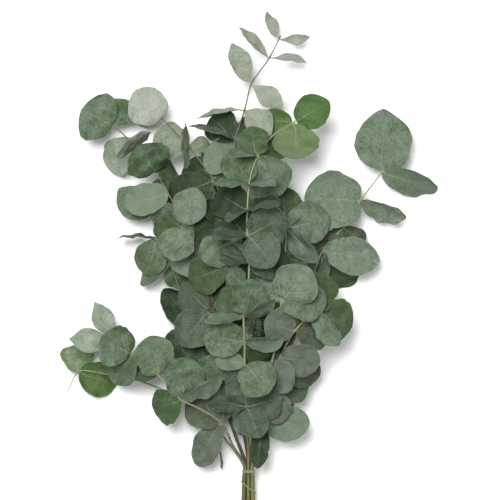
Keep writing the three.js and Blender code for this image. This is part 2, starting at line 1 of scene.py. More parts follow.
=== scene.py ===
"""A tied bunch of dried eucalyptus, lying on a pale surface and seen from straight above.

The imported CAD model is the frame. Every stem, leaf and tie is measured from its CAD node, and a finer
piece is made in the same place: blades with a wavy edge, a midrib and veins, stems with swollen joints
and bark, and raffia round the bundle. All lengths are in metres unless a name says otherwise.
"""

import json
import math
import random
from itertools import islice

import bmesh
import bpy
import numpy as np
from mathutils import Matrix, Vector

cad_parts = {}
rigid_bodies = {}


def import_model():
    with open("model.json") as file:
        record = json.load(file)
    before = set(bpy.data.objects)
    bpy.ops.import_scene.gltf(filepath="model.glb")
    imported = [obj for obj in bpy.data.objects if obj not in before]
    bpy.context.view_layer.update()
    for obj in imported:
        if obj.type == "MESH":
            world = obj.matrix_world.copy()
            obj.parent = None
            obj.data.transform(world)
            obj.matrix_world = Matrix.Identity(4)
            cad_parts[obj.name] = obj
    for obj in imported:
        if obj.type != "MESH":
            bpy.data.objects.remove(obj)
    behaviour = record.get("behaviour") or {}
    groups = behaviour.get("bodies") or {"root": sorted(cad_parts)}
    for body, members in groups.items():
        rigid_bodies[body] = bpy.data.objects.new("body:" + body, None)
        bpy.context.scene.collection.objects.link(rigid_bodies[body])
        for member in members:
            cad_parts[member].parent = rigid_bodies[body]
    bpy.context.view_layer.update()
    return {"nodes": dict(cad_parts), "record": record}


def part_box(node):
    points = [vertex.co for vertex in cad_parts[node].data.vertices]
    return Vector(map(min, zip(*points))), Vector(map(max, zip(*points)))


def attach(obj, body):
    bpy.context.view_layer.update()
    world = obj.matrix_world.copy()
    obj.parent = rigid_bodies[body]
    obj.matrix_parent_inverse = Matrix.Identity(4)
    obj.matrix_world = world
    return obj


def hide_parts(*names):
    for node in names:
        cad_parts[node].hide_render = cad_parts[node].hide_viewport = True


MM = 0.001
LIGHT_LEVEL = 1.45                 # how much brighter than its colour a flat thing looks in this light
WELD_DISTANCE = 0.002 * MM

for leftover in list(bpy.data.objects):
    bpy.data.objects.remove(leftover)
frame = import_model()
nodes = frame["nodes"]
slots = {part["node"]: part["material_slot"] for part in frame["record"]["subparts"]}


# ---- Small tools ----

def unit(vectors):
    """The vectors along the last axis, each with a length of 1."""
    lengths = np.linalg.norm(vectors, axis=-1, keepdims=True)
    return vectors / np.maximum(lengths, 1e-12)


def bell(distance, width):
    """1 at no distance, falling smoothly to 0 a few widths away."""
    return np.exp(-((distance / width) ** 2))


def srgb(red, green, blue):
    """The linear colour, for a shader, of what shows as this screen colour, 0 to 255 a channel."""
    channels = [value / 255 for value in (red, green, blue)]
    linear = [c / 12.92 if c <= 0.04045 else ((c + 0.055) / 1.055) ** 2.4 for c in channels]
    return tuple(channel / LIGHT_LEVEL for channel in linear) + (1.0,)


def welded(node):
    """A CAD node's mesh with its shared corners joined."""
    mesh = bmesh.new()
    mesh.from_mesh(nodes[node].data)
    bmesh.ops.remove_doubles(mesh, verts=mesh.verts, dist=WELD_DISTANCE)
    mesh.normal_update()
    return mesh


def layers_from(start):
    """The vertices one edge away from start, then two edges away, and so on."""
    seen = {start}
    layer = [start]
    while layer:
        yield layer
        found = []
        for vertex in layer:
            for edge in vertex.link_edges:
                other = edge.other_vert(vertex)
                if other not in seen:
                    seen.add(other)
                    found.append(other)
        layer = found


def positions(vertices):
    return np.array([tuple(vertex.co) for vertex in vertices])


def runs_along(points):
    """How far along a path each of its points is."""
    return np.concatenate([[0], np.cumsum(np.linalg.norm(np.diff(points, axis=0), axis=1))])


def smooth_path(points, spacing):
    """Points along a Catmull-Rom curve through the given ones, about one spacing apart."""
    padded = np.vstack([2 * points[0] - points[1], points, 2 * points[-1] - points[-2]])
    result = []
    for index in range(1, len(padded) - 2):
        before, start, end, after = padded[index - 1:index + 3]
        steps = max(1, round(np.linalg.norm(end - start) / spacing))
        for s in np.arange(steps) / steps:
            result.append(0.5 * (2 * start + (end - before) * s
                                 + (2 * before - 5 * start + 4 * end - after) * s ** 2
                                 + (3 * start - before - 3 * end + after) * s ** 3))
    result.append(points[-1])
    return np.array(result)


def curve_at(fit, t):
    """The points of a polynomial curve, fitted axis by axis, at each t."""
    return np.stack([np.polyval(fit[:, axis], t) for axis in range(3)], axis=-1)


def directions_across(path):
    """For each point of a path two directions across it, without twist."""
    forward = unit(np.gradient(path, axis=0))
    sides = []
    side = np.array([1.0, 0.0, 0.0])
    for direction in forward:
        side = unit(side - direction * side.dot(direction))
        sides.append(side)
    sides = np.array(sides)
    return sides, np.cross(sides, forward)


def around(sides):
    """The angles of the corners of a section with so many sides."""
    return np.arange(sides) * 2 * np.pi / sides


def tube_loops(path, radii, sides):
    """The sections of a round tube along a path, as rows of points."""
    across, other = directions_across(path)
    cosines, sines = np.cos(around(sides)), np.sin(around(sides))
    return path[:, None, :] + radii[:, None, None] * (
        cosines[None, :, None] * across[:, None, :] + sines[None, :, None] * other[:, None, :])


def loop_faces(rows, count, closed=False):
    """Quads that join rows of count vertices, each row a closed loop, and the last to the first if closed."""
    faces = []
    for row in range(rows if closed else rows - 1):
        here, there = row * count, (row + 1) % rows * count
        for column in range(count):
            following = (column + 1) % count
            faces.append((here + column, here + following, there + following, there + column))
    return faces


def phase(chance):
    """Where a wave starts, in radians."""
    return chance.uniform(0, 6)


BUD_SLOT = "leaf_dark"             # for the one piece that stands for no CAD node


def make_piece(name, vertices, faces, attributes, material, node):
    """A finished mesh piece that stands for a CAD node, or for none, with the material it is given."""
    mesh = bpy.data.meshes.new(name)
    mesh.from_pydata(vertices.tolist(), [], faces)
    for label, values in attributes.items():
        values = np.asarray(values, np.float32)
        kind = "FLOAT" if values.ndim == 1 else "FLOAT_VECTOR"
        layer = mesh.attributes.new(label, kind, "POINT")
        layer.data.foreach_set("value" if values.ndim == 1 else "vector", values.ravel())
    repair = bmesh.new()
    repair.from_mesh(mesh)
    bmesh.ops.recalc_face_normals(repair, faces=repair.faces)
    repair.to_mesh(mesh)
    repair.free()
    mesh.shade_smooth()
    mesh.materials.append(material)
    piece = bpy.data.objects.new(name, mesh)
    bpy.context.scene.collection.objects.link(piece)
    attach(piece, "root")
    if node:
        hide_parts(node)
    slots[node] if node else BUD_SLOT


# ---- Materials ----

class Shader:
    """A principled material whose node tree is built up by short calls."""

    def __init__(self, name, **constants):
        self.material = bpy.data.materials.new(name)
        self.material.use_nodes = True
        self.tree = self.material.node_tree
        self.surface = self.tree.nodes["Principled BSDF"]
        for socket, value in constants.items():
            self.surface.inputs[socket.replace("_", " ")].default_value = value

    def put(self, socket, value):
        """Feeds a socket from another node's output, or sets it to a plain value."""
        if isinstance(value, bpy.types.NodeSocket):
            self.tree.links.new(value, socket)
        else:
            socket.default_value = value

    def node(self, kind, **settings):
        made = self.tree.nodes.new(kind)
        for setting, value in settings.items():
            setattr(made, setting, value)
        return made

    def math(self, operation, *values):
        made = self.node("ShaderNodeMath", operation=operation)
        for socket, value in zip(made.inputs, values):
            self.put(socket, value)
        return made.outputs[0]

    def times(self, first, second):
        return self.math("MULTIPLY", first, second)

    def plus(self, first, second):
        return self.math("ADD", first, second)

    def scaled(self, value, factor, offset):
        return self.math("MULTIPLY_ADD", value, factor, offset)

    def swing(self, noise, size):
        """A noise from 0 to 1 made to run from half the size below zero to half the size above it."""
        return self.scaled(noise, size, -size / 2)

    def step(self, value, low, high, start=0.0, end=1.0):
        """start below low, end above high, and a smooth change between."""
        made = self.node("ShaderNodeMapRange", interpolation_type="SMOOTHSTEP")
        for socket, number in zip(made.inputs, (value, low, high, start, end)):
            self.put(socket, number)
        return made.outputs[0]

    def mix(self, factor, first, second):
        made = self.node("ShaderNodeMix", data_type="RGBA")
        self.put(made.inputs[0], factor)
        self.put(made.inputs[6], first)
        self.put(made.inputs[7], second)
        return made.outputs[2]

    def noise(self, vector, scale, detail, roughness):
        made = self.node("ShaderNodeTexNoise")
        self.put(made.inputs["Vector"], vector)
        made.inputs["Scale"].default_value = scale
        made.inputs["Detail"].default_value = detail
        made.inputs["Roughness"].default_value = roughness
        return made.outputs["Fac"]

    def read(self, attribute):
        made = self.node("ShaderNodeAttribute", attribute_name=attribute)
        return made.outputs["Fac"]

    def read_vector(self, attribute):
        made = self.node("ShaderNodeAttribute", attribute_name=attribute)
        return made.outputs["Vector"]

    def split(self, vector):
        made = self.node("ShaderNodeSeparateXYZ")
        self.put(made.inputs[0], vector)
        return made.outputs

    def bump(self, height, strength, distance):
        made = self.node("ShaderNodeBump")
        made.inputs["Strength"].default_value = strength
        made.inputs["Distance"].default_value = distance
        self.put(made.inputs["Height"], height)
        self.put(self.surface.inputs["Normal"], made.outputs[0])


# The waxy bloom, the green under it, and how strongly the side veins show.
LEAF_LOOKS = {
    "leaf_green": (srgb(112, 131, 109), srgb(64, 88, 51), 0.18),
    # leaf_dark: a darker bloom and green, painted shade for leaves deep inside the bunch.
    "leaf_dark": (srgb(84, 101, 82), srgb(44, 63, 36), 0.14),
    "leaf_silver": (srgb(164, 172, 158), srgb(116, 135, 104), 0.12),
    "leaf_pale": (srgb(154, 162, 146), srgb(120, 134, 104), 0.10),
    # leaf_bright: a fresh yellow green, brightened as painted light shining through the thin blade.
    "leaf_bright": (srgb(104, 126, 84), srgb(68, 101, 40), 0.2),
    "leaf_dusky": (srgb(102, 113, 98), srgb(70, 84, 62), 0.2),
}
MIDRIB_COLOUR = srgb(168, 180, 146)
RIM_COLOUR = srgb(150, 150, 112)
SPOT_COLOUR = srgb(74, 62, 42)
BASE_COLOUR = srgb(160, 170, 122)
UNDERSIDE_COLOUR = srgb(142, 153, 134)
PALEST_COLOUR = srgb(176, 183, 168)
# Dark patches, and the painted shade of leaves that hang into the bunch or lie in shade.
DARK_PATCH_AND_SHADE_COLOUR = srgb(38, 54, 30)
DRY_COLOUR = srgb(128, 120, 88)

VEIN_SPACING_MM = 4.2
VEIN_SLOPE = 0.85
VEIN_STAGGER = 0.45                # of one side against the other, in vein spacings

# Each noise's scale per millimetre, its detail and its roughness.
PATCH_NOISE = (0.07, 4.0, 0.62)
MOTTLE_NOISE = (0.42, 4.0, 0.65)
GRAIN_NOISE = (1.6, 3.0, 0.6)
VEIN_NOISE = (0.16, 2.0, 0.55)
CREASE_NOISE = (0.085, 3.0, 0.6)
DRY_NOISE = (0.11, 3.0, 0.7)
SPOT_NOISE = (0.62, 1.0, 0.3)

# How far a noise moves the wax up and down, and a vein along the leaf.
PATCH_SWING, MOTTLE_SWING, GRAIN_SWING, VEIN_SWING = 2.2, 1.7, 1.3, 1.6

# Smooth steps: from where to where, and the strengths before and after if they aren't 0 and 1. Those of
# the midrib's line and across the base are in millimetres from the midrib, and those along are shares.
WAX_COVERS = (-0.1, 1.1)
WAX_PALES = (1.2, 2.6)
# Dark patches and painted shade, where the wax value falls below zero.
DARK_PATCH_AND_SHADE_STEP = (-1.2, 0.0, 0.9, 0.0)
VEIN_LINE = (0.02, 0.15, 1.0, 0.0)
VEINS_ALONG = (0.1, 0.75, 1.0, 0.35)
NET_LINE = (0.0, 0.05, 0.3, 0.0)
MIDRIB_LINE = (0.15, 0.75, 1.0, 0.0)
MIDRIB_ALONG = (0.0, 0.9, 0.5, 0.06)
CREASE_LINE = (0.0, 0.018, 1.0, 0.0)
RIM_LINE = (0.965, 1.0, 0.0, 0.4)
DRY_PATCHES = (0.68, 0.82)
DRY_EDGE = (0.3, 1.0)
SPOTS = (0.73, 0.78)
BASE_ALONG = (0.02, 0.09, 0.6, 0.0)
BASE_ACROSS = (0.5, 4.0, 1.0, 0.0)

# How strongly each thing colours the leaf.
CREASE_SHADE, UNDERSIDE_SHADE, DRY_SHADE, SPOT_SHADE = 0.5, 0.4, 0.55, 0.45
DRIER_WITH_AGE = 0.16

# How high each thing stands out or lies in, before the bump's strength and distance.
VEIN_RELIEF, MIDRIB_RELIEF, CREASE_RELIEF, GRAIN_RELIEF, MOTTLE_RELIEF = 0.5, -0.6, -1.2, 0.9, 1.3
LEAF_BUMP = (0.7, 0.5 * MM)
LEAF_ROUGHNESS = (0.3, 0.4)        # times the mottle, plus


def leaf_material(slot):
    """Patchy wax over green, with dark patches and painted shade where the wax value falls low, a pale
    midrib, faint side veins, creases, a thin brownish rim and spots.

    The blade attribute gives the place on the leaf: millimetres across from the midrib and along it,
    and a different third number for each leaf.
    """
    bloom, green, vein_strength = LEAF_LOOKS[slot]
    shader = Shader(slot, IOR=1.42, Specular_IOR_Level=0.3)
    blade = shader.read_vector("blade")
    run, edge, age = shader.read("run"), shader.read("edge"), shader.read("age")
    across, along, _ = shader.split(blade)
    distance = shader.math("ABSOLUTE", across)
    mottle = shader.noise(blade, *MOTTLE_NOISE)
    grain = shader.noise(blade, *GRAIN_NOISE)

    # The tone holds the leaf's wax together with its painted light and shade; the noises add patches.
    wax_and_shade = shader.plus(shader.read("tone"), shader.swing(shader.noise(blade, *PATCH_NOISE), PATCH_SWING))
    wax_and_shade = shader.plus(wax_and_shade, shader.swing(mottle, MOTTLE_SWING))
    wax_and_shade = shader.plus(wax_and_shade, shader.swing(grain, GRAIN_SWING))
    colour = shader.mix(shader.step(wax_and_shade, *WAX_COVERS), green, bloom)
    colour = shader.mix(shader.step(wax_and_shade, *WAX_PALES), colour, PALEST_COLOUR)
    # Dark patches, and painted shade on leaves whose wax value runs below zero.
    colour = shader.mix(shader.step(wax_and_shade, *DARK_PATCH_AND_SHADE_STEP), colour, DARK_PATCH_AND_SHADE_COLOUR)

    stagger = shader.times(shader.math("GREATER_THAN", across, 0.0), VEIN_STAGGER)
    rise = shader.scaled(distance, -VEIN_SLOPE, along)
    count = shader.plus(shader.scaled(rise, 1 / VEIN_SPACING_MM, stagger),
                        shader.swing(shader.noise(blade, *VEIN_NOISE), VEIN_SWING))
    from_line = shader.math("ABSOLUTE", shader.swing(shader.math("FRACT", count), 1.0))
    side_veins = shader.times(shader.step(from_line, *VEIN_LINE), shader.read("inner"))
    side_veins = shader.times(side_veins, shader.step(run, *VEINS_ALONG))
    net = shader.step(shader.math("ABSOLUTE", shader.swing(mottle, 1.0)), *NET_LINE)
    veins = shader.math("MAXIMUM", side_veins, net)
    veins_shown = shader.times(veins, shader.times(shader.read("veined"), vein_strength))
    colour = shader.mix(veins_shown, colour, MIDRIB_COLOUR)
    midrib = shader.times(shader.step(distance, *MIDRIB_LINE), shader.step(run, *MIDRIB_ALONG))
    colour = shader.mix(midrib, colour, MIDRIB_COLOUR)

    ridge = shader.math("ABSOLUTE", shader.swing(shader.noise(blade, *CREASE_NOISE), 1.0))
    creases = shader.times(shader.step(ridge, *CREASE_LINE), age)
    colour = shader.mix(shader.times(creases, CREASE_SHADE), colour, green)
    colour = shader.mix(shader.times(shader.read("under"), UNDERSIDE_SHADE), colour, UNDERSIDE_COLOUR)
    colour = shader.mix(shader.step(edge, *RIM_LINE), colour, RIM_COLOUR)
    dryness = shader.plus(shader.noise(blade, *DRY_NOISE), shader.times(age, DRIER_WITH_AGE))
    dry_edge = shader.times(shader.step(dryness, *DRY_PATCHES), shader.step(edge, *DRY_EDGE))
    colour = shader.mix(shader.times(dry_edge, DRY_SHADE), colour, DRY_COLOUR)
    spots = shader.step(shader.noise(blade, *SPOT_NOISE), *SPOTS)
    colour = shader.mix(shader.times(spots, SPOT_SHADE), colour, SPOT_COLOUR)
    base = shader.times(shader.step(run, *BASE_ALONG), shader.step(distance, *BASE_ACROSS))
    colour = shader.mix(base, colour, BASE_COLOUR)
    shader.put(shader.surface.inputs["Base Color"], colour)
    shader.put(shader.surface.inputs["Roughness"], shader.scaled(mottle, *LEAF_ROUGHNESS))

    relief = shader.plus(shader.times(veins, VEIN_RELIEF), shader.times(midrib, MIDRIB_RELIEF))
    relief = shader.plus(relief, shader.times(creases, CREASE_RELIEF))
    relief = shader.plus(relief, shader.times(grain, GRAIN_RELIEF))
    relief = shader.plus(relief, shader.times(mottle, MOTTLE_RELIEF))
    shader.bump(relief, *LEAF_BUMP)
    return shader.material


# Bark at the cut end, halfway up and at the tip.
BARK_LOOKS = {
    "stem_green": (srgb(128, 118, 58), srgb(146, 154, 112), srgb(158, 170, 124)),
    "stem_brown": (srgb(92, 84, 44), srgb(80, 76, 60), srgb(118, 114, 98)),
}
SCAR_COLOUR = srgb(70, 60, 38)
OLD_COLOUR = srgb(62, 62, 36)
WOOD_COLOUR = srgb(206, 192, 150)
STREAK_NOISE = (0.35, 4.0, 0.6)
LOW_TO_MIDDLE = (0.05, 0.45)
MIDDLE_TO_HIGH = (0.45, 0.95)
OLD_ALONG = (0.25, 0.6, 0.95, 0.1)
STREAKS = (0.42, 0.72)
STREAK_SHADE = 0.5
SCAR_SHADE = 0.6
BARK_BUMP = (0.5, 0.3 * MM)


def bark_material(slot):
    """Streaked bark that changes from the cut end to the tip, with dark scars at the joints."""
    low, middle, high = BARK_LOOKS[slot]
    shader = Shader(slot, Roughness=0.6)
    bark = shader.read_vector("bark")
    along = shader.read("along")
    streaks = shader.noise(bark, *STREAK_NOISE)
    colour = shader.mix(shader.step(along, *LOW_TO_MIDDLE), low, middle)
    colour = shader.mix(shader.step(along, *MIDDLE_TO_HIGH), colour, high)
    old = shader.times(shader.read("tone"), shader.step(along, *OLD_ALONG))
    colour = shader.mix(old, colour, OLD_COLOUR)
    darker = shader.mix(STREAK_SHADE, colour, SCAR_COLOUR)
    colour = shader.mix(shader.step(streaks, *STREAKS), colour, darker)
    colour = shader.mix(shader.times(shader.read("scar"), SCAR_SHADE), colour, SCAR_COLOUR)
    colour = shader.mix(shader.read("cut"), colour, WOOD_COLOUR)
    shader.put(shader.surface.inputs["Base Color"], colour)
    shader.bump(streaks, *BARK_BUMP)
    return shader.material


RAFFIA_LIGHT = srgb(172, 188, 140)
RAFFIA_DARK = srgb(104, 120, 76)
FIBRE_NOISE = (1.0, 4.0, 0.65)
FIBRES = (0.3, 0.7)
RAFFIA_BUMP = (0.7, 0.2 * MM)


def raffia_material(slot):
    """Pale green raffia with fine fibres that run along it."""
    shader = Shader(slot, Roughness=0.8)
    fibres = shader.noise(shader.read_vector("fibre"), *FIBRE_NOISE)
    colour = shader.mix(shader.step(fibres, *FIBRES), RAFFIA_DARK, RAFFIA_LIGHT)
    shader.put(shader.surface.inputs["Base Color"], colour)
    shader.bump(fibres, *RAFFIA_BUMP)
    return shader.material


materials = {slot: leaf_material(slot) for slot in LEAF_LOOKS}
materials.update({slot: bark_material(slot) for slot in BARK_LOOKS})
materials["tie"] = raffia_material("tie")


# ---- Leaves, measured from the frame ----

RIM_ANGLE = math.radians(115)      # only a blade's rim is folded this sharply
RIM_POINTS = 9
TIP_POINT = RIM_POINTS // 2        # of the rim's points
STATIONS = (1 - np.cos(np.pi * np.arange(1, 5) / 5)) / 2    # of the CAD blade's sections, stem to tip
INNER_DEPTH = 0.75                 # of a round cup's depth, at the inner points halfway out
FIRST_SIDE = 0.6                   # of the way to the first station, before which the side keeps its turn
SKEWS = np.linspace(0.5, 1.6, 45)  # below 1 the outline is widest nearer the stem
POINTS = np.linspace(0.35, 1.1, 31)    # below 1 the outline is blunt


def rim_chains(mesh):
    """The rim of every blade: four points up one side, the tip, and four points down the other."""
    neighbours = {}
    for edge in mesh.edges:
        if len(edge.link_faces) == 2 and edge.calc_face_angle() > RIM_ANGLE:
            first, second = edge.verts
            neighbours.setdefault(first, []).append(second)
            neighbours.setdefault(second, []).append(first)
    chains = []
    used = set()
    for start in [vertex for vertex in neighbours if len(neighbours[vertex]) == 1]:
        if start in used:
            continue
        chain = [start]
        while True:
            following = [vertex for vertex in neighbours[chain[-1]] if vertex not in chain]
            if not following:
                break
            chain.append(following[0])
        used.update(chain)
        if len(chain) == RIM_POINTS:
            chains.append(chain)
    return chains


class Blade:
    """A leaf's middle surface, from its stem to its tip, by the rim and the sections of its CAD solid."""

    def __init__(self, chain, stem_path):
        rim = positions(chain)
        right, left, tip = rim[:TIP_POINT], rim[:TIP_POINT:-1], rim[TIP_POINT]
        rings = list(islice(layers_from(chain[TIP_POINT]), 1, 1 + len(STATIONS)))
        inner = [[v for v in ring if v not in chain] for ring in reversed(rings)]
        middle = np.array([positions(ring).mean(0) for ring in inner])
        towards_tip = middle[-1] - middle[0]
        if np.cross(right[2] - left[2], towards_tip)[2] < 0:
            right, left = left, right
        chord = (right + left) / 2
        half = np.linalg.norm(right - left, axis=1) / 2
        centre = chord + (middle - chord) / INNER_DEPTH
        start = curve_at(np.polyfit(np.append(STATIONS, 1.0), np.vstack([centre, tip]), 3), [0.0])[0]
        self.root = stem_path[np.argmin(np.linalg.norm(stem_path - start, axis=1))]
        course = np.vstack([self.root, start, centre, tip])
        marks = runs_along(course)
        self.length = marks[-1]
        self.stations = marks[2:-1] / self.length
        self.centre_fit = np.polyfit(marks / self.length, course, 4)
        self.side_fit = np.polyfit(self.stations, unit(right - left), 2)
        self.depth = (centre - chord) / half[:, None] ** 2
        self.width, self.skew, self.point = self.fit_outline(half)
        self.tip = tip
        self.heading = math.atan2(*(tip - self.root)[1::-1])

    def fit_outline(self, half):
        """The widest half-width and the two exponents of the outline that fits the four stations best."""
        best = None
        for skew in SKEWS:
            for point in POINTS:
                shape = np.sin(np.pi * self.stations ** skew) ** point
                width = shape.dot(half) / shape.dot(shape)
                miss = np.sum((width * shape - half) ** 2)
                if best is None or miss < best[0]:
                    best = (miss, width, skew, point)
        return best[1:]

    def centre(self, s):
        return curve_at(self.centre_fit, s)

    def side(self, s):
        return unit(curve_at(self.side_fit, np.maximum(s, self.stations[0] * FIRST_SIDE)))

    def half_width(self, s):
        return self.width * np.sin(np.pi * np.clip(s, 0, 1) ** self.skew) ** self.point

    def cup(self, s):
        return np.stack([np.interp(s, self.stations, self.depth[:, axis]) for axis in range(3)], axis=-1)


# ---- Leaves, made fine ----

# Where the columns lie between the midrib and the rim.
HALF_COLUMNS = np.array([0.03, 0.08, 0.16, 0.27, 0.4, 0.53, 0.66, 0.78, 0.88, 0.95, 0.985, 1.0])
COLUMNS = np.concatenate([-HALF_COLUMNS[::-1], [0.0], HALF_COLUMNS])
BLADE_ROWS = 34
ROW_TURNS = (0.07, np.pi - 0.05)   # the rows lie closer together at both ends, by the cosine of these
SKIN = 0.16 * MM                   # from the middle surface to either face
KEEL = 0.45 * MM                   # how far the midrib stands out below
KEEL_WIDTH = 0.55 * MM
KEEL_END = 1.15                    # along the blade, where the keel would run out
CLASP, CLASP_RUN = 1.2, 0.08       # how much stronger the keel is at the stem, and for how far
GROOVE = 0.1 * MM                  # how deep the midrib lies above
GROOVE_WIDTH = 0.6 * MM
RESTING_LEVEL = 0.5 * MM           # of the middle surface of a leaf that lies flat
RESTING_SOFTNESS = 0.8 * MM        # how gently a blade bends up to it
CRINKLE = 0.5 * MM
CRINKLE_WAVES = 6
CRINKLE_LENGTHS = (7 * MM, 22 * MM)

# How an outline strays, as shares of the half-width, with its waves' turns and a nick now and then.
SIDE_SPREAD = 0.06
LONG_STRAY, LONG_TURNS = 0.035, 1.2
SHORT_STRAY, SHORT_TURNS = 0.014, (3, 6)
NICK_CHANCE = 0.3
NICK_DEPTH = (0.03, 0.1)
NICK_PLACE = (0.35, 0.9)
NICK_WIDTH = 0.035

# How a blade's rim waves and curls, as shares of the half-width, and its tip, as a share of the length.
RIM_POWER = 2.4                    # how closely the waves keep to the rim
FREE_FROM = 0.25                   # along the blade, from where it moves freely
RIM_WAVES = [1.5, 2.0, 2.5, 3.0]
OTHER_SIDE = 1.7                   # radians that one side's waves run ahead
RIM_LIFT = (0.03, 0.08)
RIM_CURL = (-0.05, 0.12)
TIP_DROOP = (-0.01, 0.05)

LOBE = (0.08, 0.24)                # of the blade's length
LOBE_END = 0.36                    # along the blade
LOBE_POINT = (0.75, 0.45)          # the outline's second exponent, without lobes and with full ones
LOBE_SLIMNESS = (2.2, 1.2)         # the same for its length by its width
LOBE_POWER = 1.3
LOBE_ROW = 2                       # the row whose direction the lobes take
TIP_REACH = (0.8, 1.1)             # of the last row's step
LEAF_NUMBER = 500                  # the most that a leaf's third noise coordinate comes to


def crinkle(reach, run, chance):
    """Gentle dents: waves of several lengths in several directions, over the flat leaf."""
    height = np.zeros_like(reach)
    for _ in range(CRINKLE_WAVES):
        direction = chance.uniform(0, math.pi)
        length = chance.uniform(*CRINKLE_LENGTHS)
        turns = (reach * math.cos(direction) + run * math.sin(direction)) / length
        height += np.sin(2 * np.pi * turns + phase(chance)) * (length / CRINKLE_LENGTHS[1])
    return CRINKLE * height


def outline_wander(s, chance):
    """How much wider or narrower one side of a blade is, from its stem to its tip."""
    wander = 1 + chance.uniform(-SIDE_SPREAD, SIDE_SPREAD)
    wander = wander + LONG_STRAY * np.sin(2 * np.pi * LONG_TURNS * s + phase(chance))
    wander += SHORT_STRAY * np.sin(2 * np.pi * chance.uniform(*SHORT_TURNS) * s + phase(chance))
    if chance.random() < NICK_CHANCE:
        wander -= chance.uniform(*NICK_DEPTH) * bell(s - chance.uniform(*NICK_PLACE), NICK_WIDTH)
    return wander


def above_surface(heights):
    """The heights of a leaf's middle surface, raised smoothly to a resting level where they sink below it."""
    over = heights - RESTING_LEVEL
    return RESTING_LEVEL + (over + np.sqrt(over ** 2 + RESTING_SOFTNESS ** 2)) / 2


def blade_surface(blade, chance):
    """The grid of a blade's middle surface, its upward normals, and each point's reach from the midrib."""
    s = (1 - np.cos(np.linspace(*ROW_TURNS, BLADE_ROWS))) / 2
    half = blade.half_width(s)[:, None]
    left, right = outline_wander(s, chance), outline_wander(s, chance)
    reach = half * np.where(COLUMNS < 0, left[:, None], right[:, None]) * COLUMNS
    centre, side = blade.centre(s), blade.side(s)
    grid = centre[:, None, :] + reach[..., None] * side[:, None, :]
    grid -= blade.cup(s)[:, None, :] * (reach ** 2)[..., None]
    forward = unit(np.gradient(centre, axis=0))
    normal = unit(np.cross(side, forward))

    down = s[:, None]
    rim = np.abs(COLUMNS) ** RIM_POWER
    waves = chance.choice(RIM_WAVES)
    swing = np.sin(2 * np.pi * waves * down + phase(chance) + OTHER_SIDE * (COLUMNS > 0))
    lift = chance.uniform(*RIM_LIFT) * half * rim * swing
    lift = lift + chance.uniform(*RIM_CURL) * half * rim
    lift = lift - chance.uniform(*TIP_DROOP) * blade.length * down ** 3
    lift = lift + crinkle(reach, down * blade.length, chance)
    free = np.clip(down / FREE_FROM, 0, 1)
    grid += (lift * free)[..., None] * normal[:, None, :]

    # The base of a round blade runs back on either side of the stem in two lobes.
    blunt = np.interp(-blade.point, [-LOBE_POINT[0], -LOBE_POINT[1]], [0, 1])
    slimness = blade.length / (2 * blade.width)
    broad = np.interp(-slimness, [-LOBE_SLIMNESS[0], -LOBE_SLIMNESS[1]], [0, 1])
    for sign in (-1, 1):
        lobe = chance.uniform(*LOBE) * (blunt * broad)
        near_base = np.sin(np.pi * np.clip(s / LOBE_END, 0, 1))[:, None]
        back = lobe * blade.length * near_base * np.clip(sign * COLUMNS, 0, 1) ** LOBE_POWER
        grid -= back[..., None] * forward[LOBE_ROW]

    grid[..., 2] = above_surface(grid[..., 2])
    normals = unit(np.cross(np.gradient(grid, axis=1), np.gradient(grid, axis=0)))
    return s, reach, grid, normals


def leaf_mesh(blade, seed, tone, veined):
    """One leaf as a closed solid: a thin blade with a midrib, thickened where it clasps its stem."""
    chance = random.Random(seed)
    s, reach, grid, normals = blade_surface(blade, chance)
    keel = bell(reach, KEEL_WIDTH) * (KEEL_END - s[:, None]) * (1 + CLASP * bell(s, CLASP_RUN))[:, None]
    top = grid + normals * (SKIN - GROOVE * bell(reach, GROOVE_WIDTH))[..., None]
    bottom = grid - normals * (SKIN + KEEL * keel)[..., None]
    top[:, [0, -1]] = grid[:, [0, -1]]
    loops = np.concatenate([top, bottom[:, -2:0:-1]], axis=1)
    loop_reach = np.concatenate([reach, reach[:, -2:0:-1]], axis=1)
    from_midrib = np.abs(np.concatenate([COLUMNS, COLUMNS[-2:0:-1]]))
    rows, count = loops.shape[:2]
    under = (np.arange(count) >= len(COLUMNS)).astype(float)
    under[[0, len(COLUMNS) - 1]] = 0.5
    last_row, row_before = grid[-1].mean(0), grid[-2].mean(0)
    end = last_row + (last_row - row_before) * chance.uniform(*TIP_REACH)
    vertices = np.vstack([*loops, end[None, :]])
    faces = loop_faces(rows, count)
    faces.append(tuple(range(count))[::-1])
    last = (rows - 1) * count
    faces += [(last + k, last + (k + 1) % count, rows * count) for k in range(count)]

    run = np.repeat(s, count)
    edge = np.tile(from_midrib, rows)
    number = chance.uniform(0, LEAF_NUMBER)
    length_mm = blade.length / MM
    place = np.column_stack([loop_reach.ravel() / MM, run * length_mm, np.full(rows * count, number)])
    attributes = {
        "blade": np.vstack([place, [[0, length_mm, number]]]),
        "edge": np.append(edge, 1.0),
        "under": np.append(np.tile(under, rows), 0.5),
        "inner": np.append((1 - edge ** 3) * (1 - run ** 3), 0),
        "run": np.append(run, 1.0),
        "tone": np.full(len(vertices), tone),
        "age": np.full(len(vertices), chance.random()),
        "veined": np.full(len(vertices), veined),
    }
    return vertices, faces, attributes


def joined(parts):
    """Several (vertices, faces, attributes) as one."""
    vertices, faces, attributes = [], [], {}
    offset = 0
    for part_vertices, part_faces, part_attributes in parts:
        vertices.append(part_vertices)
        faces += [tuple(index + offset for index in face) for face in part_faces]
        offset += len(part_vertices)
        for label, values in part_attributes.items():
            attributes.setdefault(label, []).append(values)
    attributes = {label: np.concatenate(values) for label, values in attributes.items()}
    return np.vstack(vertices), faces, attributes


# ---- Stems ----

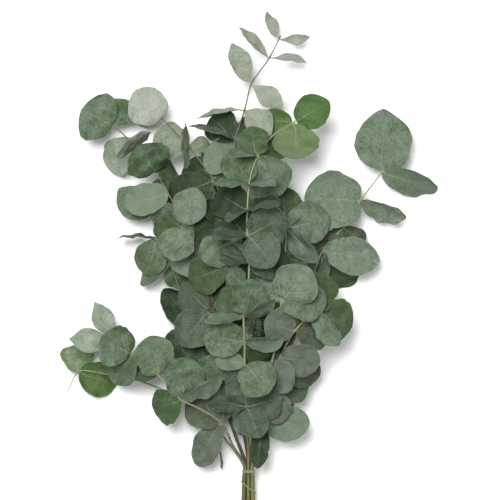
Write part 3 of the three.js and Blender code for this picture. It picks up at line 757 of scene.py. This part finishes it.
BARK_STEP = 3 * MM
BARK_SIDES = 14
JOINT_SWELL = 0.45
JOINT_WIDTH = 2.2 * MM
SCAR_SPACING = 27 * MM
SCAR_SWELL = 0.14
SCAR_WIDTH = 1.6 * MM
FIRST_SCAR = (0.6, 1.0)            # of a spacing below the lowest leaves
LAST_SCAR = 8 * MM                 # from the cut end
UNEVENNESS = 0.04
UNEVEN_LENGTH = 9 * MM             # of stem for each radian of the wave
STEM_END = 0.6                     # of the radius, at the tip
CUT_EDGE = 0.88                    # of the radius, where the cut face starts
FLAT = 0.999                       # the cosine between faces that lie in one plane
STEM_TONES = [0.0, 0.15, 0.6, 1.0]
BARK_ALONG, BARK_ROUND = 0.12, 4   # how the bark's noise is stretched, per mm along and per radius round


def stem_course(node):
    """A stem's centre line from its cut end to its tip, and its radius along it."""
    mesh = welded(node)
    caps = [vertex for vertex in mesh.verts
            if all(face.normal.dot(vertex.link_faces[0].normal) > FLAT for face in vertex.link_faces)]
    cut = min(caps, key=lambda vertex: vertex.co.y)
    rings = [positions(layer) for layer in layers_from(cut)][1:-1]
    centres = np.array([ring.mean(0) for ring in rings])
    radii = np.array([np.linalg.norm(ring - ring.mean(0), axis=1).mean() for ring in rings])
    path = smooth_path(centres, BARK_STEP)
    marks, runs = runs_along(centres), runs_along(path)
    return path, runs, np.interp(runs / runs[-1], marks / marks[-1], radii)


def build_stem(shoot, course, joints):
    """A round stem with swollen joints where its leaves grow, and old leaf scars lower down."""
    node = f"stem_{shoot}"
    path, runs, radii = course
    chance = random.Random(node)
    joint_runs = [runs[np.argmin(np.linalg.norm(path - joint, axis=1))] for joint in joints]
    highest_scar = min(joint_runs) - SCAR_SPACING * chance.uniform(*FIRST_SCAR)
    scar_runs = np.arange(highest_scar, LAST_SCAR, -SCAR_SPACING)
    swell = sum(JOINT_SWELL * bell(runs - run, JOINT_WIDTH) for run in joint_runs)
    scars = sum((bell(runs - run, SCAR_WIDTH) for run in scar_runs), np.zeros(len(runs)))
    uneven = 1 + UNEVENNESS * np.sin(runs / UNEVEN_LENGTH + phase(chance))
    radii = radii * uneven * (1 + swell + SCAR_SWELL * scars)
    radii[-1] *= STEM_END
    loops = tube_loops(path, radii, BARK_SIDES)
    cut_ring = path[0] + (loops[0] - path[0]) * CUT_EDGE
    rows = len(path) + 1
    vertices = np.vstack([cut_ring, loops.reshape(-1, 3), path[:1], path[-1:]])
    faces = loop_faces(rows, BARK_SIDES)
    cut_centre, tip = rows * BARK_SIDES, rows * BARK_SIDES + 1
    last = (rows - 1) * BARK_SIDES
    for side in range(BARK_SIDES):
        following = (side + 1) % BARK_SIDES
        faces.append((following, side, cut_centre))
        faces.append((last + side, last + following, tip))

    def on_rings(by_ring, at_cut, at_tip):
        """A value for every vertex, from one for each ring, one at the cut's middle and one at the tip."""
        return np.append(np.repeat(by_ring, BARK_SIDES), [at_cut, at_tip])

    ring_runs = np.concatenate([[0], runs])
    angles = around(BARK_SIDES)
    circle = np.stack([np.cos(angles), np.sin(angles)], axis=1) * BARK_ROUND
    bark_runs = on_rings(ring_runs / MM * BARK_ALONG, 0, ring_runs[-1] / MM * BARK_ALONG)
    attributes = {
        "along": on_rings(ring_runs / runs[-1], 0, 1),
        "scar": on_rings(np.concatenate([[0], np.clip(scars + swell, 0, 1)]), 0, 0),
        "cut": on_rings((np.arange(rows) == 0).astype(float), 1, 0),
        "tone": np.full(len(vertices), chance.choice(STEM_TONES)),
        "bark": np.column_stack([np.vstack([np.tile(circle, (rows, 1)), np.zeros((2, 2))]), bark_runs]),
    }
    make_piece(f"twig_{shoot}", vertices, faces, attributes, materials[slots[node]], node)


# ---- The bunch ----

# How much wax shows on a leaf, from 0, green, to 1, waxy, with 2 almost white and -1 a very dark painted
# shade, and how clearly its veins show. Both are an even spread, with painted light on leaves that rise and
# painted shade on leaves that hang down into the bunch, except for leaves that stand out, by place and by
# heading in degrees.
WAX_SPREAD = (0.15, 1.15)
# Painted light and shade by tilt: a leaf that rises is made lighter, one that hangs down darker.
LIGHT_AND_SHADE_OF_RISE = 1.3
MOST_WAX = 1.15
VEINED_SPREAD = (0.3, 1.4)
STANDING_OUT = {
    ("top_7", 108): (0.8, 0.4),
    ("top_7", 0): (1.7, 0.4),
    ("top_6", 130): (0.7, 0.5),
    ("top_6", 10): (1.4, 0.4),
    ("top_5", 112): (0.9, 0.5),
    ("top_5", -33): (1.4, 0.5),
    ("top_4", -45): (0.8, 0.6),
    ("low_twig_1", -18): (0.1, 1.0),
    ("low_twig_1", 92): (1.4, 0.9),
    ("lower_left_5", 115): (0.5, 0.8),
    ("lower_left_5", 176): (0.5, 0.8),
    ("lower_left_4", 150): (0.45, 1.8),
    ("lower_left_3", 104): (0.5, 1.2),
    ("lower_left_2", 84): (0.5, 1.6),
    ("lower_left_2", 22): (1.5, 0.7),
    ("lower_left_1", -92): (0.8, 0.9),
    ("upper_left_6", 152): (0.6, 1.2),
    ("upper_left_6", 66): (0.4, 0.8),
    ("upper_left_5", 200): (0.45, 0.8),
    ("upper_left_4", 124): (0.3, 0.6),
    ("upper_left_3", 193): (1.2, 0.6),
    ("inner_left_4", 138): (1.5, 0.4),
    ("inner_left_3", 160): (0.4, 0.8),
    ("right_4", 88): (0.8, 1.3),
    ("right_4", -19): (0.9, 0.8),
    ("right_3", 178): (1.05, 1.2),
    ("right_3", -24): (1.5, 0.5),
    ("right_1", -11): (1.2, 0.9),
    ("right_1", -102): (1.0, 0.6),
    ("centre_9", -60): (0.6, 1.4),
    ("centre_9", 98): (0.15, 1.0),
    ("centre_10", 30): (0.0, 1.2),
    ("centre_10", -86): (0.9, 1.3),
    ("centre_right_1", 50): (0.75, 3.2),
    ("centre_right_1", 147): (0.6, 1.5),
    ("centre_3", 170): (0.5, 0.7),
    ("centre_2", -52): (0.6, 1.0),
    ("lower_right_1", 3): (1.2, 0.9),
    ("lower_right_1", -95): (-0.9, 0.3),
    ("left_1", 123): (0.0, 0.6),
}
REACH_OF_HEADING = 30


def leaf_finish(place, index, blade):
    """The leaf's wax, with painted light where it rises and painted shade where it hangs down, and its veins,
    as listed if it stands out.
    """
    drawn = random.Random(f"finish {place} {index}")
    rise = (blade.tip - blade.root)[2] / blade.length
    # Painted light and shade: the wax value goes up as the leaf rises and down as it hangs.
    wax_and_shade = min(MOST_WAX, drawn.uniform(*WAX_SPREAD) + LIGHT_AND_SHADE_OF_RISE * rise)
    finish = (wax_and_shade, drawn.uniform(*VEINED_SPREAD))
    for (named, near), by_hand in STANDING_OUT.items():
        off = abs((math.degrees(blade.heading) - near + 180) % 360 - 180)
        if place == f"leaves_{named}" and off < REACH_OF_HEADING:
            finish = by_hand
    return finish


def build_leaves(place, course):
    """All the leaves of one place on a stem, as one piece. Gives back where they join the stem."""
    mesh = welded(place)
    blades = [Blade(chain, course[0]) for chain in rim_chains(mesh)]
    blades.sort(key=lambda blade: blade.heading)
    joint = np.mean([blade.root for blade in blades], axis=0)
    parts = [leaf_mesh(blade, f"{place} {index}", *leaf_finish(place, index, blade))
             for index, blade in enumerate(blades)]
    vertices, faces, attributes = joined(parts)
    name = place.replace("leaves", "foliage")
    make_piece(name, vertices, faces, attributes, materials[slots[place]], place)
    return joint


courses = {}
joints_of = {}
for stem in sorted(name for name in nodes if name.startswith("stem_")):
    shoot = stem.removeprefix("stem_")
    courses[shoot] = stem_course(stem)
    start = f"leaves_{shoot}_"
    places = [name for name in sorted(nodes) if name.startswith(start) and name[len(start):].isdigit()]
    joints_of.update({place: build_leaves(place, courses[shoot]) for place in places})
    build_stem(shoot, courses[shoot], [joints_of[place] for place in places])


# ---- A cluster of dark buds in the middle of the bunch ----

BUD_COUNT = 110
BUD_LENGTH = (3 * MM, 6.5 * MM)
BUD_WIDTH = 0.62
BUD_ROUND, BUD_ROWS = 8, 7
BUD_PLACE = "leaves_centre_3"
BUD_STALK = (12 * MM, 15 * MM, 2 * MM)    # from the place where it grows
BUD_SPREAD = (8 * MM, 11 * MM, 5 * MM)
BUD_STALK_RADIUS = 0.6 * MM
BUD_STALK_BEND = (2 * MM, -2 * MM, 0)
BUD_STALK_STEP = 2 * MM
BUD_DISTANCE = (0.35, 1.0)                # of the spread
BUD_WAYS = ((0, 1), (0.3, 1), (0.3, 0.8))    # the middle and spread of each axis, from the stalk's end
BUD_TURNS = ((0, 0.5), (0.2, 0.5), (0, 0.4))    # the same, of a bud's own heading
BUD_RUN = (0.03, 0.97)                    # of a pointed bud's full length
BUD_CURL = 0.2
BUD_FULLEST = 0.8                         # below 1 a bud is fullest nearer its base
BUD_LIGHT = srgb(92, 116, 70)
BUD_DARK = srgb(24, 36, 19)
SPECKLE_NOISE = (1.4, 3.0, 0.6)
SPECKLES = (0.35, 0.7)
BUD_TIP = (0.35, 1.0)
BUD_BUMP = (0.6, 0.3 * MM)
SPECKLE_NUMBER = 90                       # the most that a bud's place in the noise is moved


def bud_material():
    shader = Shader("buds", Roughness=0.62)
    along = shader.read("along")
    speckle = shader.noise(shader.read_vector("spot"), *SPECKLE_NOISE)
    light = shader.times(shader.step(along, *BUD_TIP), shader.step(speckle, *SPECKLES))
    shader.put(shader.surface.inputs["Base Color"], shader.mix(light, BUD_DARK, BUD_LIGHT))
    shader.bump(speckle, *BUD_BUMP)
    return shader.material


def build_buds():
    """Small pointed buds that crowd round the end of a short side stalk."""
    chance = random.Random("buds")
    course = courses["centre"][0]
    start = course[np.argmin(np.linalg.norm(course - joints_of[BUD_PLACE], axis=1))]
    end = start + np.array(BUD_STALK)
    parts = []

    def add(path, radii):
        rows = len(path)
        vertices = tube_loops(path, radii, BUD_ROUND).reshape(-1, 3)
        faces = loop_faces(rows, BUD_ROUND)
        faces += [tuple(range(BUD_ROUND))[::-1], tuple(range((rows - 1) * BUD_ROUND, rows * BUD_ROUND))]
        along = np.repeat(np.linspace(0, 1, rows), BUD_ROUND)
        spot = vertices / MM + chance.uniform(0, SPECKLE_NUMBER)
        parts.append((vertices, faces, {"along": along, "spot": spot}))

    def drawn(axes):
        return np.array([chance.gauss(*axis) for axis in axes])

    bend = (start + end) / 2 + BUD_STALK_BEND
    stalk = smooth_path(np.array([start, bend, end]), BUD_STALK_STEP)
    add(stalk, np.full(len(stalk), BUD_STALK_RADIUS))
    run = np.linspace(*BUD_RUN, BUD_ROWS)
    for _ in range(BUD_COUNT):
        way = drawn(BUD_WAYS)
        way[2] = abs(way[2])
        way = unit(way)
        middle = end + way * np.array(BUD_SPREAD) * chance.uniform(*BUD_DISTANCE)
        heading = unit(way + drawn(BUD_TURNS))
        length = chance.uniform(*BUD_LENGTH)
        curl = np.cross(heading, [0, 0, 1]) * length * BUD_CURL
        path = middle + np.outer((run - 0.5) * length, heading) + np.outer(run ** 2, curl)
        add(path, length * BUD_WIDTH / 2 * np.sin(np.pi * run ** BUD_FULLEST))
    vertices, faces, attributes = joined(parts)
    make_piece("bud_cluster", vertices, faces, attributes, bud_material(), None)


# ---- The tie ----

BAND_STRANDS = 3
BAND_THICKNESS = 0.7 * MM
BAND_OVERLAP = 0.52                # half a strand's width, by their pitch
BAND_WOBBLE = 0.12 * MM
WOBBLE_STEP, WOBBLE_SHIFT = 0.7, 2    # radians, for each step round and each strand
THREAD_RADIUS = 0.75 * MM
ROUND_STEPS = 72
STRAND_SIDES = 8
FIBRE_ROUND, FIBRE_STEP = 3, 0.25  # how the fibres' noise is stretched, round a strand and for each step

band_low, band_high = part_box("tie_band")
thread_low, thread_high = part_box("tie_thread")
tie_middle = (band_low + band_high) / 2


def bundle_outline(y_at, room):
    """A closed loop round the stems, tight but for the room, and its outward directions.

    y_at gives the loop's y from how far to the right of the tie's middle it is.
    """
    angles = np.linspace(0, 2 * np.pi, ROUND_STEPS, endpoint=False)
    directions = np.stack([np.cos(angles), np.sin(angles)], axis=1)
    spots = []
    for path, _, radii in courses.values():
        x_near = path[np.argmin(np.abs(path[:, 1] - y_at(0))), 0]
        at = np.argmin(np.abs(path[:, 1] - y_at(x_near - tie_middle.x)))
        spots.append((path[at, 0], path[at, 2], radii[at] + room))
    centres = np.array([spot[:2] for spot in spots])
    sizes = np.array([spot[2] for spot in spots])
    middle = centres.mean(0)
    support = ((centres - middle) @ directions.T + sizes[:, None]).max(0)
    slope = (np.roll(support, -1) - np.roll(support, 1)) / (2 * (angles[1] - angles[0]))
    along = np.stack([-np.sin(angles), np.cos(angles)], axis=1)
    outline = middle + support[:, None] * directions + slope[:, None] * along
    level = [y_at(x - tie_middle.x) for x in outline[:, 0]]
    loop = np.column_stack([outline[:, 0], level, outline[:, 1]])
    return loop, np.column_stack([directions[:, 0], np.zeros(ROUND_STEPS), directions[:, 1]])


def strand(loop, outward, half_height, half_thickness):
    """A closed strand of oval section along a closed loop."""
    forward = unit(np.roll(loop, -1, axis=0) - np.roll(loop, 1, axis=0))
    across = unit(np.cross(forward, outward))
    cosines, sines = np.cos(around(STRAND_SIDES)), np.sin(around(STRAND_SIDES))
    sections = (loop[:, None, :]
                + half_thickness * cosines[None, :, None] * outward[:, None, :]
                + half_height * sines[None, :, None] * across[:, None, :])
    count = len(loop)
    circle = np.tile(np.stack([cosines, sines], axis=1), (count, 1)) * FIBRE_ROUND
    fibre = np.column_stack([circle, np.repeat(np.arange(count), STRAND_SIDES) * FIBRE_STEP])
    return sections.reshape(-1, 3), loop_faces(count, STRAND_SIDES, closed=True), {"fibre": fibre}


def build_band():
    """Three turns of raffia side by side round the stems."""
    pitch = (band_high.y - band_low.y) / BAND_STRANDS
    parts = []
    for turn in range(BAND_STRANDS):
        level = band_low.y + pitch * (turn + 0.5)
        loop, outward = bundle_outline(lambda x, level=level: level, BAND_THICKNESS / 2)
        loop[:, 1] += BAND_WOBBLE * np.sin(np.arange(ROUND_STEPS) * WOBBLE_STEP + turn * WOBBLE_SHIFT)
        parts.append(strand(loop, outward, pitch * BAND_OVERLAP, BAND_THICKNESS / 2))
    make_piece("raffia_band", *joined(parts), materials["tie"], "tie_band")


def build_thread():
    """A thin thread that runs round the stems on a slant."""
    middle_y = (thread_low.y + thread_high.y) / 2
    slope = -(thread_high.y - thread_low.y) / (thread_high.x - thread_low.x)
    loop, outward = bundle_outline(lambda x: middle_y + slope * x, THREAD_RADIUS)
    thread = strand(loop, outward, THREAD_RADIUS, THREAD_RADIUS)
    make_piece("raffia_thread", *thread, materials["tie"], "tie_thread")


build_buds()
build_band()
build_thread()


# ---- The surface, the lights and the camera ----

VIEW_SIZE = 0.55                   # side of the square that the camera sees, at the leaves
VIEW_RIGHT_OF_TIE = 0.002
VIEW_ABOVE_TIE = 0.246             # up the picture
VIEW_HEIGHT = 2.6
LEAF_LEVEL = 0.05                  # height at which the view has its size
SENSOR = 36.0                      # mm
FLOOR_SIZE = 6.0
FLOOR_COLOUR = (0.93, 0.93, 0.93, 1.0)
SKY_COLOUR = (1.0, 1.0, 1.0, 1.0)
SKY_STRENGTH = 0.27 * LIGHT_LEVEL
# Each lamp's name, place, size and power in watts. They point at the origin, under the bunch's middle.
LAMPS = [
    ("key", (-0.45, 0.7, 2.3), 1.25, 53 * LIGHT_LEVEL),
    ("fill", (1.1, -0.6, 2.0), 1.6, 8 * LIGHT_LEVEL),
]


def build_floor():
    mesh = bpy.data.meshes.new("floor")
    half = FLOOR_SIZE / 2
    corners = [(-half, -half, 0), (half, -half, 0), (half, half, 0), (-half, half, 0)]
    mesh.from_pydata(corners, [], [(0, 1, 2, 3)])
    floor = bpy.data.objects.new("floor", mesh)
    bpy.context.scene.collection.objects.link(floor)
    shader = Shader("floor", Base_Color=FLOOR_COLOUR, Roughness=0.9, Specular_IOR_Level=0.1)
    mesh.materials.append(shader.material)


def add_lamp(name, place, size, power):
    lamp = bpy.data.lights.new(name, "AREA")
    lamp.shape = "DISK"
    lamp.size = size
    lamp.energy = power
    light = bpy.data.objects.new(name, lamp)
    light.location = place
    light.rotation_euler = (-Vector(place)).to_track_quat("-Z", "Y").to_euler()
    bpy.context.scene.collection.objects.link(light)


def build_lights():
    world = bpy.data.worlds.new("studio")
    world.use_nodes = True
    background = world.node_tree.nodes["Background"]
    background.inputs["Color"].default_value = SKY_COLOUR
    background.inputs["Strength"].default_value = SKY_STRENGTH
    bpy.context.scene.world = world
    bpy.context.scene.view_settings.view_transform = "Standard"
    for lamp in LAMPS:
        add_lamp(*lamp)


def build_camera():
    """A camera straight above the leaves, with the leafy tips at the top of the picture."""
    lens = bpy.data.cameras.new("camera")
    camera = bpy.data.objects.new("camera", lens)
    camera.location = (tie_middle.x + VIEW_RIGHT_OF_TIE, tie_middle.y + VIEW_ABOVE_TIE, VIEW_HEIGHT)
    lens.sensor_width = SENSOR
    lens.lens = SENSOR * (VIEW_HEIGHT - LEAF_LEVEL) / VIEW_SIZE
    bpy.context.scene.collection.objects.link(camera)
    bpy.context.scene.camera = camera


build_floor()
build_lights()
build_camera()
